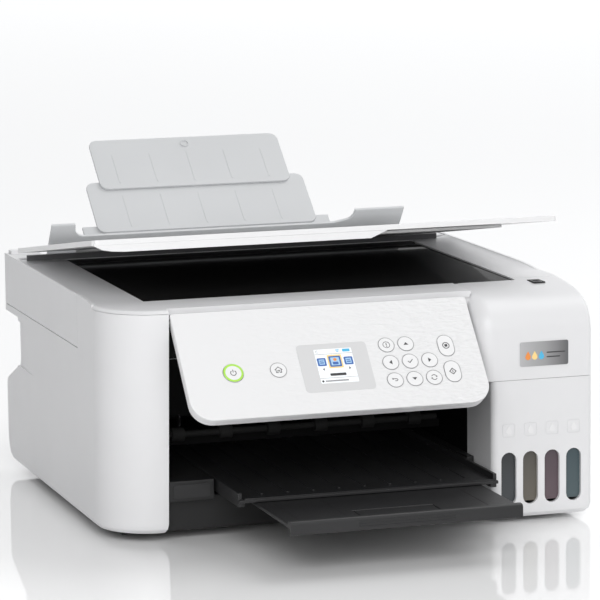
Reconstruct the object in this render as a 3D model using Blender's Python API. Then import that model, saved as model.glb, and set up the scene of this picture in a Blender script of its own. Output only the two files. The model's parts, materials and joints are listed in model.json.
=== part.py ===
"""All-in-one inkjet printer with refillable ink tanks, as separate pieces placed where they are used.

Lengths are in millimetres in the tables below and become metres where a mesh is made.
X runs to the right of the front, Y to the back, Z up. The body is centred on X; FRAME_Y moves
the whole object so that the origin lies under the middle of its extended outline.
"""
import math

import bmesh
import bpy
from mathutils import Matrix, Vector

MM = 0.001

# ---------------------------------------------------------------- driving dimensions
FRAME_Y = 1.66             # from the body's centre to the frame's origin, along Y
HALF_WIDTH = 187.5         # case, 375 wide
REAR_Y = 173.5             # back of the case, and the ink tank's front at -REAR_Y
WALL = 3.0
GAP = 0.3

FOOT_TOP = 2.5
CASE_FLOOR = 6.5           # lower edge of the left case
TANK_FLOOR = 3.5           # lower edge of the right case with the ink tank
SIDE_SEAM_Z = 137.5        # seam between lower case and side covers
SIDE_SEAM_Y = -64.5        # front end of the side covers
HOOD_SEAM_Z = 110.5        # seam between ink tank and hood
COLUMN_TOP = 174.2         # top of the front left column
RIM_Z = 177.0              # surface around the scanner glass
TOP_Z = 179.0              # top of the side walls

COLUMN_FRONT_TOP = -156.0  # the column's front leans back towards its foot
COLUMN_FRONT_FOOT = -146.0
COLUMN_RADIUS = 43.5
COLUMN_INNER_X = -141.0
BOTTOM_ROUNDING = 8.0
TANK_LEFT_X = 106.0
TANK_BACK_Y = -68.0
TANK_CORNER = 4.5

RECESS_Y = 131.0           # back wall above the rear bulge
BULGE_TOP = 78.0
REAR_ROUNDING = 25.0

BED_X = (-146.8, 150.6)    # opening for the scanner glass
BED_Y = (-106.8, 131.0)
GLASS_BACK_Y = 109.2
UNIT_FLOOR_Z = 139.0
UNIT_BACK_Y = 139.5
UNIT_AXIS = (136.0, 174.0)         # y, z of the scanner unit's hinge
STRIP_FRONT_Y = -147.0
FASCIA_Y = -145.4
BROW_Z = 172.0             # underside of the strip over the control panel
HOOD_LEFT_X = 95.0
HOOD_SHOULDER = 13.0       # radius of the hood's left shoulder

LID_AXIS = (137.0, 182.8)
LID_OPEN = 8.8             # degrees open in the rest pose
LID_DEPTH = 247.7
LID_HALF_WIDTH = 186.0
LID_THICKNESS = 4.0
LID_LIP = 5.2              # how far the grip lip reaches below the lid

PANEL_AXIS = (-153.14, 164.12)
PANEL_TILT = 41.2          # degrees swung out in the rest pose
PANEL_X = (-140.0, 91.5)
PANEL_HEIGHT = 92.5
PANEL_THICKNESS = 9.0
PANEL_SKIN = 3.5
PANEL_INSET = 7.0          # the axis lies this far below the top edge and behind the face
PANEL_CORNER = 17.0
BUTTON_PITCH = 15.3
BUTTON_RADIUS = 6.0
SCREEN_X = (-50.0, 3.3)
SCREEN_V = (34.5, 74.5)
PANEL_ARMS_X = (-118.0, 70.0)
ARM_RADIUS = 3.0
PIN_RADIUS = 1.5

PAPER_X = -3.0             # middle of the paper path
GUARD_X = -4.6
GUARD_AXIS = (160.0, 176.0)
GUARD_LEAN = 38.0          # degrees towards the front
GUARD_HEIGHT = 36.4
SUPPORT_AXIS = (168.5, 152.0)
SUPPORT_RISE = 39.5        # degrees above level
SUPPORT_LENGTH = 60.0
SUPPORT_STEP = 47.0        # how far each slide stands out of the one below
DECK_FRONT_Y = 142.0
SLOT_X = (-158.1, 148.9)
SLOT_Y = (149.0, 160.0)
SILL_TOP = 148.0           # the deck's back edge between its ears

TRAY_Z = 39.6
TRAY_HALF = 101.0
TRAY_FRONT_Y = -207.0
TRAY_TIP_HALF = 88.5
TRAY_TIP_Y = -289.0
LIP_DROP = 10.0

TANK_X = (119.3, 136.9, 154.5, 172.1)
TANK_WIDTH = 14.4
WINDOW_WIDTH = 12.2
WINDOW_Z = (14.6, 55.4)

BUTTONS = {
    "button_power": (-102.3, 53.8),
    "button_home": (-67.7, 53.8),
    "button_help": (19.6, 53.6 - BUTTON_PITCH),
    "button_up": (19.6 + BUTTON_PITCH, 53.6 - BUTTON_PITCH),
    "button_left": (19.6, 53.6),
    "button_ok": (19.6 + BUTTON_PITCH, 53.6),
    "button_right": (19.6 + 2 * BUTTON_PITCH, 53.6),
    "button_back": (19.6, 53.6 + BUTTON_PITCH),
    "button_down": (19.6 + BUTTON_PITCH, 53.6 + BUTTON_PITCH),
    "button_paper": (19.6 + 2 * BUTTON_PITCH, 53.6 + BUTTON_PITCH),
}
LONG_BUTTONS = {
    "button_stop": (65.8, 42.2),
    "button_start": (65.8, 64.8),
}
LONG_BUTTON_HALF = 9.0
POWER_RADIUS = 7.6

# ---------------------------------------------------------------- materials
COLOURS = {
    "case_white": ((0.80, 0.80, 0.81), 0.45, 0.0),
    "soft_grey": ((0.62, 0.63, 0.64), 0.5, 0.0),
    "charcoal": ((0.035, 0.035, 0.038), 0.45, 0.0),
    "black_plastic": ((0.012, 0.012, 0.013), 0.5, 0.0),
    "bed_glass": ((0.01, 0.01, 0.012), 0.08, 0.0),
    "rubber": ((0.03, 0.03, 0.03), 0.85, 0.0),
    "steel": ((0.55, 0.56, 0.57), 0.3, 1.0),
    "screen": ((0.55, 0.58, 0.6), 0.15, 0.0),
    "button_white": ((0.82, 0.82, 0.83), 0.35, 0.0),
    "mat_white": ((0.78, 0.78, 0.78), 0.8, 0.0),
    "ink_black": ((0.03, 0.032, 0.036), 0.15, 0.0),
    "ink_yellow": ((0.13, 0.115, 0.09), 0.15, 0.0),
    "ink_magenta": ((0.12, 0.08, 0.10), 0.15, 0.0),
    "ink_cyan": ((0.06, 0.10, 0.11), 0.15, 0.0),
}


def material(name):
    """The piece's plain material, made once for each name."""
    found = bpy.data.materials.get(name)
    if found:
        return found
    made = bpy.data.materials.new(name)
    made.use_nodes = True
    colour, roughness, metallic = COLOURS[name]
    shader = made.node_tree.nodes["Principled BSDF"]
    shader.inputs["Base Color"].default_value = (*colour, 1.0)
    shader.inputs["Roughness"].default_value = roughness
    shader.inputs["Metallic"].default_value = metallic
    return made


# ---------------------------------------------------------------- outlines
def arc(centre, radius, start, end, steps):
    """Points on a circle from one angle to another, in degrees."""
    points = []
    for index in range(steps + 1):
        angle = math.radians(start + (end - start) * index / steps)
        points.append((centre[0] + radius * math.cos(angle), centre[1] + radius * math.sin(angle)))
    return points


def circle(centre, radius, steps):
    return arc(centre, radius, 0, 360 * (steps - 1) / steps, steps - 1)


def rounded_rectangle(low, high, radius, steps=4):
    """Outline of a rectangle with round corners, counter-clockwise."""
    (x0, y0), (x1, y1) = low, high
    return (arc((x1 - radius, y0 + radius), radius, -90, 0, steps)
            + arc((x1 - radius, y1 - radius), radius, 0, 90, steps)
            + arc((x0 + radius, y1 - radius), radius, 90, 180, steps)
            + arc((x0 + radius, y0 + radius), radius, 180, 270, steps))


# ---------------------------------------------------------------- solids
def place(axis, first, second, along):
    """A point from two coordinates in a plane and one along its normal axis."""
    if axis == "x":
        return (along, first, second)
    if axis == "y":
        return (first, along, second)
    return (first, second, along)


def shape(vertices, faces):
    """A closed mesh object, its faces turned outwards."""
    mesh = bpy.data.meshes.new("shape")
    mesh.from_pydata([Vector(point) * MM for point in vertices], [], faces)
    work = bmesh.new()
    work.from_mesh(mesh)
    bmesh.ops.remove_doubles(work, verts=work.verts, dist=0.00001)
    bmesh.ops.dissolve_degenerate(work, edges=work.edges, dist=0.00001)
    bmesh.ops.connect_verts_nonplanar(work, angle_limit=0.001, faces=work.faces)
    bmesh.ops.recalc_face_normals(work, faces=work.faces)
    work.to_mesh(mesh)
    work.free()
    made = bpy.data.objects.new("shape", mesh)
    bpy.context.scene.collection.objects.link(made)
    return made


def loft(rings):
    """A solid through closed rings with equal numbers of points, capped at both ends."""
    count = len(rings[0])
    vertices = [point for ring in rings for point in ring]
    faces = [list(range(count)), list(range((len(rings) - 1) * count, len(rings) * count))]
    for level in range(len(rings) - 1):
        for index in range(count):
            after = (index + 1) % count
            low, high = level * count, (level + 1) * count
            faces.append([low + index, low + after, high + after, high + index])
    return shape(vertices, faces)


def prism(axis, outline, low, high):
    """An outline drawn across an axis and extruded along it."""
    return loft([[place(axis, a, b, low) for a, b in outline],
                 [place(axis, a, b, high) for a, b in outline]])


def box(x, y, z):
    return prism("z", [(x[0], y[0]), (x[1], y[0]), (x[1], y[1]), (x[0], y[1])], z[0], z[1])


def rod(axis, centre, radius, low, high, steps=20):
    return prism(axis, circle(centre, radius, steps), low, high)


def turned(axis, centre, profile, steps=16):
    """A round solid from (position along the axis, radius) pairs."""
    rings = [[place(axis, a, b, along) for a, b in circle(centre, radius, steps)]
             for along, radius in profile]
    return loft(rings)


def combine(base, operation, others):
    """Adds or cuts solids with exact booleans and removes the ones used up."""
    for other in others:
        modifier = base.modifiers.new("combine", "BOOLEAN")
        modifier.operation = operation
        modifier.object = other
        evaluated = base.evaluated_get(bpy.context.evaluated_depsgraph_get())
        mesh = bpy.data.meshes.new_from_object(evaluated)
        base.modifiers.clear()
        base.data = mesh
        bpy.data.objects.remove(other)
    return base


def add(base, *others):
    return combine(base, "UNION", others)


def cut(base, *others):
    return combine(base, "DIFFERENCE", others)


def tidy(mesh):
    """Joins flat neighbouring faces so that booleans leave few triangles."""
    work = bmesh.new()
    work.from_mesh(mesh)
    bmesh.ops.remove_doubles(work, verts=work.verts, dist=0.000005)
    bmesh.ops.dissolve_limit(work, angle_limit=math.radians(0.3), verts=work.verts, edges=work.edges)
    bmesh.ops.triangulate(work, faces=[face for face in work.faces if len(face.verts) > 4])
    bmesh.ops.recalc_face_normals(work, faces=work.faces)
    work.to_mesh(mesh)
    work.free()


def piece(name, solid, colour, pivot=(0.0, 0.0, 0.0), parent=None):
    """Names a finished solid, moves its origin to its pivot and hangs it under its parent."""
    solid.name = name
    solid.data.name = name
    tidy(solid.data)
    solid.data.materials.clear()
    solid.data.materials.append(material(colour))
    solid.data.shade_smooth()
    solid.data.set_sharp_from_angle(angle=math.radians(35))
    solid.data.transform(Matrix.Translation(Vector(pivot) * -MM))
    solid.location = Vector(pivot) * MM
    solid.parent = parent
    return solid


def axis_empty(name, pivot, tilt, parent):
    """An empty on a hinge axis along X, turned by the rest angle."""
    empty = bpy.data.objects.new(name, None)
    bpy.context.scene.collection.objects.link(empty)
    empty.location = Vector(pivot) * MM
    empty.rotation_euler = (math.radians(tilt), 0.0, 0.0)
    empty.parent = parent
    return empty


# ---------------------------------------------------------------- lower case
def bottom_levels(floor, top):
    """(height, inset) pairs of a case whose lower edge is rounded."""
    levels = []
    for angle in (0, 30, 60, 90):
        turn = math.radians(angle)
        levels.append((floor + BOTTOM_ROUNDING * (1 - math.cos(turn)),
                       BOTTOM_ROUNDING * (1 - math.sin(turn))))
    levels.append((top, 0.0))
    return levels


def left_ring(height, inset):
    """Plan of the left case: side wall, round column and the wall beside the opening."""
    slope = (COLUMN_FRONT_FOOT - COLUMN_FRONT_TOP) / (COLUMN_TOP - CASE_FLOOR)
    front = COLUMN_FRONT_TOP + slope * (COLUMN_TOP - height)
    centre = (-HALF_WIDTH + COLUMN_RADIUS, front + COLUMN_RADIUS)
    side = -HALF_WIDTH + inset
    inner = COLUMN_INNER_X - 0.5 * inset
    outer = [(side, REAR_Y)] + arc(centre, COLUMN_RADIUS - inset, 180, 270, 12)
    outer += [(inner, front + inset), (inner, TANK_BACK_Y)]
    back = [(inner - WALL, TANK_BACK_Y), (inner - WALL, front + inset + WALL)]
    back += arc(centre, COLUMN_RADIUS - inset - WALL, 270, 180, 12)[1:] + [(side + WALL, REAR_Y)]
    return [(x, y, height) for x, y in outer + back]


def rear_corner_cutter(low_x, high_x, floor):
    """What the large rounding at the lower back edge takes away."""
    centre = (REAR_Y - REAR_ROUNDING, floor + REAR_ROUNDING)
    outline = arc(centre, REAR_ROUNDING, -90, 0, 8) + [(REAR_Y + 9, centre[1]), (REAR_Y + 9, floor - 9),
                                                        (centre[0], floor - 9)]
    return prism("x", outline, low_x, high_x)


def recess_outline():
    """Side view of the space above the rear bulge."""
    concave = arc((RECESS_Y + 10, 99.0), 10.0, 180, 255, 4)
    convex = arc((REAR_Y - 8, BULGE_TOP - 8), 8.0, 75, 0, 4)
    return [(RECESS_Y, 132.0)] + concave + convex + [(REAR_Y + 9, BULGE_TOP - 8), (REAR_Y + 9, 132.0)]


def left_case(parent):
    solid = loft([left_ring(*level) for level in bottom_levels(CASE_FLOOR, COLUMN_TOP)])
    thick = box((-HALF_WIDTH + 1, -HALF_WIDTH + 6), (72, RECESS_Y - WALL - GAP), (84, 134))
    ramp = [(-108.0, COLUMN_TOP - 4), (SIDE_SEAM_Y, COLUMN_TOP - 4), (SIDE_SEAM_Y, TOP_Z), (-80.0, TOP_Z),
            (-96.0, TOP_Z - 0.6), (-108.0, RIM_Z)]
    wall = prism("x", ramp, -HALF_WIDTH, -HALF_WIDTH + WALL)
    solid = add(solid, thick, wall)
    over = box((-HALF_WIDTH - 9, -HALF_WIDTH + 20), (SIDE_SEAM_Y, REAR_Y + 9), (SIDE_SEAM_Z, 200))
    recess = prism("x", recess_outline(), -HALF_WIDTH - 9, -HALF_WIDTH + 20)
    scoop = prism("z", [(-HALF_WIDTH - 9, 78), (-HALF_WIDTH, 78), (-HALF_WIDTH + 2.0, RECESS_Y + 5),
                        (-HALF_WIDTH - 9, RECESS_Y + 5)], 92, 129)
    corner = rear_corner_cutter(-HALF_WIDTH - 9, -HALF_WIDTH + 20, CASE_FLOOR)
    below_glass = box((COLUMN_INNER_X - WALL - 1, COLUMN_INNER_X + 1), (-108.5, -60.0), (170.5, 190.0))
    piece("left_case", cut(solid, over, recess, scoop, corner, below_glass), "case_white", parent=parent)


def right_ring(height, inset):
    """Plan of the right case: the tank's left wall, its front and the right side wall."""
    left = TANK_LEFT_X + inset
    right = HALF_WIDTH - inset
    front = -REAR_Y + inset
    corner = max(TANK_CORNER - 0.5 * inset, WALL + 0.5)
    outer = [(left, TANK_BACK_Y)] + arc((left + 5, front + 5), 5, 180, 270, 4)
    outer += arc((right - corner, front + corner), corner, -90, 0, 6) + [(right, REAR_Y)]
    back = [(right - WALL, REAR_Y)] + arc((right - corner, front + corner), corner - WALL, 0, -90, 6)
    back += arc((left + 5, front + 5), 5 - WALL, 270, 180, 4) + [(left + WALL, TANK_BACK_Y)]
    return [(x, y, height) for x, y in outer + back]


def window_outline(centre, grow=0.0):
    radius = WINDOW_WIDTH / 2 + grow
    low, high = WINDOW_Z[0] - grow, WINDOW_Z[1] + grow
    return (arc((centre, high - radius), radius, 0, 180, 8)
            + arc((centre, low + radius), radius, 180, 360, 8))


def right_case(parent):
    solid = loft([right_ring(*level) for level in bottom_levels(TANK_FLOOR, SIDE_SEAM_Z)])
    floor = box((TANK_LEFT_X + 10, HALF_WIDTH - 10), (-162, TANK_BACK_Y - 3), (TANK_FLOOR, TANK_FLOOR + 3))
    solid = add(solid, floor)
    over = box((TANK_LEFT_X - 9, HALF_WIDTH + 9), (-REAR_Y - 9, SIDE_SEAM_Y), (HOOD_SEAM_Z, 200))
    recess = prism("x", recess_outline(), HALF_WIDTH - 20, HALF_WIDTH + 9)
    corner = rear_corner_cutter(HALF_WIDTH - 20, HALF_WIDTH + 9, TANK_FLOOR)
    windows = [prism("y", window_outline(centre), -REAR_Y - 9, -REAR_Y + 6) for centre in TANK_X]
    piece("right_case", cut(solid, over, recess, corner, *windows), "case_white", parent=parent)


def rear_case_trim(side, floor):
    """What the rear case leaves for the rounded lower edge of a side wall."""
    curve = []
    for angle in (0, 30, 60, 90):
        turn = math.radians(angle)
        inner = HALF_WIDTH - BOTTOM_ROUNDING * (1 - math.sin(turn)) - WALL - 2 * GAP
        curve.append((side * inner, floor + BOTTOM_ROUNDING * (1 - math.cos(turn)) + GAP))
    away = side * (HALF_WIDTH + 9)
    return prism("y", curve + [(away, curve[-1][1]), (away, 0.0), (curve[0][0], 0.0)], 100, 190)


def rear_case(parent):
    """Back wall with its lower bulge, holding the sockets for power and USB."""
    half = HALF_WIDTH - WALL - GAP
    concave = arc((RECESS_Y + 10, 99.0), 10.0, 180, 255, 4)
    convex = arc((REAR_Y - 8, BULGE_TOP - 8), 8.0, 75, 0, 4)
    foot = arc((REAR_Y - REAR_ROUNDING, CASE_FLOOR + REAR_ROUNDING), REAR_ROUNDING, 0, -80, 7)
    outer = [(RECESS_Y, SIDE_SEAM_Z - GAP)] + concave + convex + foot
    concave_in = arc((RECESS_Y + 10, 99.0), 13.0, 255, 180, 4)
    convex_in = arc((REAR_Y - 8, BULGE_TOP - 8), 5.0, 0, 75, 4)
    foot_in = arc((REAR_Y - REAR_ROUNDING, CASE_FLOOR + REAR_ROUNDING), REAR_ROUNDING - WALL, -80, 0, 7)
    inner = foot_in + convex_in + concave_in + [(RECESS_Y - WALL, SIDE_SEAM_Z - GAP)]
    solid = prism("x", outer + inner, -half, half)
    power = box((-152.3, -127.7), (160, 180), (38.7, 61.3))
    usb = box((133.7, 148.3), (120, 140), (104.7, 119.3))
    corners = [rear_case_trim(side, floor) for side, floor in ((-1, CASE_FLOOR), (1, TANK_FLOOR))]
    piece("rear_case", cut(solid, power, usb, *corners), "case_white", parent=parent)


def socket(name, parent, centre, size, y, cavity):
    """A socket with an open mouth towards the back."""
    half_x, half_z = size
    solid = box((centre[0] - half_x, centre[0] + half_x), y, (centre[1] - half_z, centre[1] + half_z))
    mouth = box((centre[0] - cavity[0], centre[0] + cavity[0]), (y[1] - cavity[2], y[1] + 5),
                (centre[1] - cavity[1], centre[1] + cavity[1]))
    piece(name, cut(solid, mouth), "black_plastic", parent=parent)


def base_parts(parent):
    """Floor pan, feet, side covers, sill and the fixed works inside."""
    pan = [(-170.0, -118.0), (103.0, -118.0), (103.0, -64.0), (170.0, -64.0), (170.0, 140.0), (-170.0, 140.0)]
    piece("bottom_pan", prism("z", pan, FOOT_TOP + GAP, CASE_FLOOR - GAP), "charcoal", parent=parent)
    feet = {
        "foot_front_left": (-150.0, -92.0, FOOT_TOP),
        "foot_rear_left": (-156.0, 124.0, FOOT_TOP),
        "foot_rear_right": (152.0, 124.0, FOOT_TOP),
        "foot_front_right": (147.0, -140.0, TANK_FLOOR - GAP),
    }
    for name, (x, y, top) in feet.items():
        piece(name, turned("z", (x, y), [(0.0, 8.4), (0.6, 9.0), (top, 9.0)]), "rubber", parent=parent)
    for name, side in (("left_side_cover", -1), ("right_side_cover", 1)):
        end = TOP_Z if side < 0 else RIM_Z
        outline = [(SIDE_SEAM_Y + GAP, SIDE_SEAM_Z + GAP), (REAR_Y, SIDE_SEAM_Z + GAP), (REAR_Y, TOP_Z),
                   (SIDE_SEAM_Y + 40, TOP_Z), (SIDE_SEAM_Y + 20, TOP_Z - 0.6), (SIDE_SEAM_Y + GAP, end)]
        span = sorted((side * HALF_WIDTH, side * (HALF_WIDTH - WALL)))
        piece(name, prism("x", outline, *span), "case_white", parent=parent)

    housing = [(-140.3, 6.8), (105.3, 6.8), (105.3, 47.0), (99.3, 47.0), (99.3, 33.0),
               (-105.3, 33.0), (-105.3, 47.0), (-140.3, 47.0)]
    sill = prism("y", housing, -136.0, 60.0)
    blocks = box((-140.3, -105.3), (-147.0, -130.0), (31.0, 47.0))
    piece("tray_housing", add(sill, blocks), "black_plastic", parent=parent)

    mask = box((-140.3, 94.5), (-66.0, -62.0), (80.0, 137.0))
    side = box((90.0, 105.3), (-66.0, -62.0), (80.0, 109.0))
    shelf = box((-140.3, 105.3), (-66.0, -40.0), (80.0, 83.0))
    piece("paper_exit_cover", add(mask, side, shelf), "black_plastic", parent=parent)
    ribs = [box((x, x + 2.0), (-58.0, 18.0), (58.0, 66.0)) for x in range(-110, 105, 26)]
    piece("platen", add(box((-122.0, 108.0), (-58.0, 18.0), (56.0, 62.0)), *ribs), "black_plastic", parent=parent)
    rail = [(30.0, 92.0), (33.0, 92.0), (33.0, 126.0), (48.0, 126.0), (48.0, 129.0), (30.0, 129.0)]
    piece("carriage_rail", prism("x", rail, -136.0, 176.0), "steel", parent=parent)
    socket("power_inlet", parent, (-140.0, 50.0), (12.0, 11.0), (148.0, 172.5), (9.0, 6.0, 14.0))
    socket("usb_socket", parent, (141.0, 112.0), (7.0, 7.0), (112.0, 130.4), (4.6, 4.2, 12.0))


# ---------------------------------------------------------------- ink tanks
def ink_parts(parent):
    inks = ("ink_black", "ink_yellow", "ink_magenta", "ink_cyan")
    for index, (centre, ink) in enumerate(zip(TANK_X, inks), start=1):
        half = TANK_WIDTH / 2
        body = box((centre - half, centre + half), (-170.2, -78.0), (16.4, 92.0))
        neck = rod("z", (centre, -140.0), 4.5, 90.0, 99.7, 16)
        piece("ink_tank_%d" % index, add(body, neck), ink, parent=parent)
        axis = (0.0, -118.0, 102.0)
        cap = box((centre - 6.6, centre + 6.6), (-152.0, -118.0), (100.0, 104.0))
        plug = rod("z", (centre, -140.0), 6.0, 103.0, 107.5, 16)
        piece("tank_cap_%d" % index, add(cap, plug), "soft_grey", (centre, *axis[1:]), parent)


# ---------------------------------------------------------------- printing works
def roller(name, parent, centre, span, core, rings, sleeve, colour):
    """A shaft along X with rubber sleeves spaced along it."""
    start, end = span
    pitch = (end - start) / rings
    profile = [(start, core)]
    for index in range(rings):
        middle = start + (index + 0.5) * pitch
        profile += [(middle - 5, core), (middle - 5, sleeve), (middle + 5, sleeve), (middle + 5, core)]
    profile.append((end, core))
    piece(name, turned("x", centre, profile, 14), colour, (0.0, *centre), parent)


def print_works(parent):
    roller("feed_roller", parent, (26.0, 60.0), (-130.0, 112.0), 3.5, 6, 6.5, "rubber")
    roller("exit_roller", parent, (-66.0, 66.0), (-130.0, 100.0), 2.5, 6, 5.5, "rubber")
    body = box((118.0, 166.0), (-34.0, 29.0), (76.0, 122.0))
    slide = box((120.0, 164.0), (20.0, 52.0), (129.6, 133.0))
    link = box((120.0, 164.0), (18.0, 29.0), (118.0, 133.0))
    head = box((122.0, 162.0), (-20.0, 12.0), (69.0, 78.0))
    piece("print_carriage", add(body, link, slide, head), "black_plastic", parent=parent)


# ---------------------------------------------------------------- output tray
def tray_parts(parent):
    low, high = PAPER_X - TRAY_HALF, PAPER_X + TRAY_HALF
    plate = box((low, high), (TRAY_FRONT_Y, 20.0), (TRAY_Z, TRAY_Z + 2.4))
    rails = [box((x, x + 3.0), (TRAY_FRONT_Y + 4, 20.0), (TRAY_Z + 2.0, TRAY_Z + 7.0)) for x in (low, high - 3)]
    keeps = [box((x, x + 5.0), (TRAY_FRONT_Y + 4, 20.0), (TRAY_Z - 3.4, TRAY_Z + 1.0)) for x in (low, high - 5)]
    piece("output_tray", add(plate, *rails, *keeps), "charcoal", parent=parent)
    low, high = PAPER_X - TRAY_TIP_HALF, PAPER_X + TRAY_TIP_HALF
    rear = TRAY_FRONT_Y + 50
    top = TRAY_Z + 2.2
    outline = [(rear, TRAY_Z - 3.0), (rear, TRAY_Z - 0.4), (TRAY_TIP_Y + 8, TRAY_Z - 0.4),
               (TRAY_TIP_Y + 6, top), (TRAY_TIP_Y + 2, top), (TRAY_TIP_Y + 0.6, top - 0.8),
               (TRAY_TIP_Y, top - 2.4), (TRAY_TIP_Y, top - LIP_DROP), (TRAY_TIP_Y + 2.4, top - LIP_DROP),
               (TRAY_TIP_Y + 2.8, TRAY_Z - 4.5), (TRAY_TIP_Y + 5.0, TRAY_Z - 3.0)]
    tip = prism("x", outline, low, high)
    slot = box((PAPER_X - 31, PAPER_X + 31), (TRAY_TIP_Y + 10, TRAY_TIP_Y + 34), (TRAY_Z - 9, TRAY_Z + 9))
    piece("tray_extension", cut(tip, slot), "charcoal", parent=parent)
    pivot = (PAPER_X, TRAY_TIP_Y + 13, TRAY_Z - 1.7)
    flap = box((PAPER_X - 30, PAPER_X + 30), (TRAY_TIP_Y + 11.5, TRAY_TIP_Y + 33), (TRAY_Z - 2.8, TRAY_Z - 0.6))
    piece("paper_stop", flap, "charcoal", pivot, parent)


# ---------------------------------------------------------------- rear paper feed
def feed_parts(parent):
    half = HALF_WIDTH - WALL - GAP
    deck = box((-half, half), (DECK_FRONT_Y, REAR_Y), (SIDE_SEAM_Z + GAP, 178.4))
    way = [(SLOT_Y[0], 120.0), (SLOT_Y[1], 120.0), (SLOT_Y[1], SILL_TOP), (REAR_Y + 9, SILL_TOP),
           (REAR_Y + 9, 200.0), (SLOT_Y[0], 200.0)]
    hollows = [box(x, (DECK_FRONT_Y + WALL, REAR_Y - WALL), (120, 174))
               for x in ((-half + WALL, SLOT_X[0] - WALL), (SLOT_X[1] + WALL, half - WALL))]
    corners = [box(x, (164.0, REAR_Y), (177.0, 181.5)) for x in ((-half, -160.0), (158.0, half))]
    piece("feeder_deck", cut(add(deck, *corners), prism("x", way, *SLOT_X), *hollows), "case_white",
          parent=parent)

    guard_axis = axis_empty("guard_axis", (GUARD_X, *GUARD_AXIS), GUARD_LEAN, parent)
    high = GUARD_HEIGHT
    outline = [(-151.0, 1.0), (151.0, 1.0), (151.5, high), (108.0, high)]
    outline += arc((99.0, high - 3), 9.0, 0, -60, 4) + [(92.0, high - 14.0), (-121.0, high - 14.0)]
    outline += arc((-122.0, high - 5.0), 9.0, 260, 180, 4) + [(-131.5, high), (-151.5, high)]
    guard = prism("y", outline, -1.1, 1.1)
    knuckle = rod("x", (0.0, 0.0), 2.2, -153.2, 153.2, 12)
    piece("feeder_guard", add(guard, knuckle), "soft_grey", parent=guard_axis)

    for name, side in (("edge_guide_left", -1), ("edge_guide_right", 1)):
        x = PAPER_X + side * 106.5
        span = sorted((x, x + side * 2.0))
        foot = sorted((x, x + side * 14.0))
        upright = box(span, (152.0, 161.5), (SILL_TOP + GAP, 173.0))
        shoe = box(foot, (156.0, 165.5), (SILL_TOP + GAP, SILL_TOP + 2.3))
        piece(name, add(upright, shoe), "soft_grey", parent=parent)

    support_axis = axis_empty("support_axis", (PAPER_X, *SUPPORT_AXIS), SUPPORT_RISE, parent)
    flap = box((-108.0, 108.0), (1.0, SUPPORT_LENGTH), (-1.5, 1.0))
    knuckle = rod("x", (0.0, 0.0), 2.0, -150.0, 150.0, 12)
    piece("paper_support", add(flap, knuckle), "soft_grey", parent=support_axis)
    stages = (("support_slide_lower", 96.0, 1.4), ("support_slide_upper", 84.0, 3.8))
    for index, (name, half_width, level) in enumerate(stages, start=1):
        start = 4.0 + index * SUPPORT_STEP
        outline = rounded_rectangle((-half_width, start), (half_width, start + SUPPORT_LENGTH - 3), 7.0)
        piece(name, prism("z", outline, level, level + 2.0), "soft_grey", parent=support_axis)


# ---------------------------------------------------------------- scanner unit
def unit_corner_ring(height, inset):
    """Plan of the top plate, round over the column and straight behind the panel."""
    centre = (-HALF_WIDTH + COLUMN_RADIUS, COLUMN_FRONT_TOP + COLUMN_RADIUS)
    half = HALF_WIDTH - WALL - GAP
    outline = [(-half, UNIT_BACK_Y), (-half, -108.6), (-HALF_WIDTH + inset, -108.6)]
    outline += arc(centre, COLUMN_RADIUS - inset, 176, 270, 12)
    outline += [(COLUMN_INNER_X, COLUMN_FRONT_TOP + inset), (COLUMN_INNER_X, STRIP_FRONT_Y)]
    outline += [(HOOD_LEFT_X + 4, STRIP_FRONT_Y), (HOOD_LEFT_X + 4, -100.0), (half, -100.0), (half, UNIT_BACK_Y)]
    return [(x, y, height) for x, y in outline]


def hood_profile(inset, floor):
    """Side view of the hood: flat top, long soft shoulder, upright front."""
    shoulder = [(-96.0, RIM_Z), (-122.0, RIM_Z - 1.0), (-140.0, RIM_Z - 2.6), (-152.0, RIM_Z - 5.2),
                (-161.0, RIM_Z - 9.2), (-167.5, RIM_Z - 14.6), (-171.6, RIM_Z - 21.0), (-173.5, RIM_Z - 29.0)]
    points = [(SIDE_SEAM_Y - GAP, RIM_Z)]
    for index, (y, z) in enumerate(shoulder):
        share = min(1.0, index / 3.0)
        front = max(0.0, (index - 2) / 5.0)
        points.append((y + inset * front, z - inset * share * (1 - 0.5 * front)))
    points += [(-173.5 + inset, floor), (SIDE_SEAM_Y - GAP, floor)]
    return points


def hood_solid(grow, floor, left, right):
    """The hood's outer form, or its hollow when grow is negative."""
    sections = []
    for angle in (90, 72, 54, 36, 18, 0):
        turn = math.radians(angle)
        sections.append((left + HOOD_SHOULDER * (1 - math.sin(turn)), HOOD_SHOULDER * (1 - math.cos(turn))))
    for angle in (0, 30, 60, 90):
        turn = math.radians(angle)
        sections.append((right - TANK_CORNER * (1 - math.sin(turn)), TANK_CORNER * (1 - math.cos(turn))))
    rings = []
    for x, inset in sections:
        outline = hood_profile(inset, floor)
        if grow < 0:
            outline = [(min(y - grow, SIDE_SEAM_Y - GAP + grow) if y < -100 else y, z + grow if z > floor + 1 else z)
                       for y, z in outline]
        rings.append([(x, y, z) for y, z in outline])
    return loft(rings)


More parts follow.
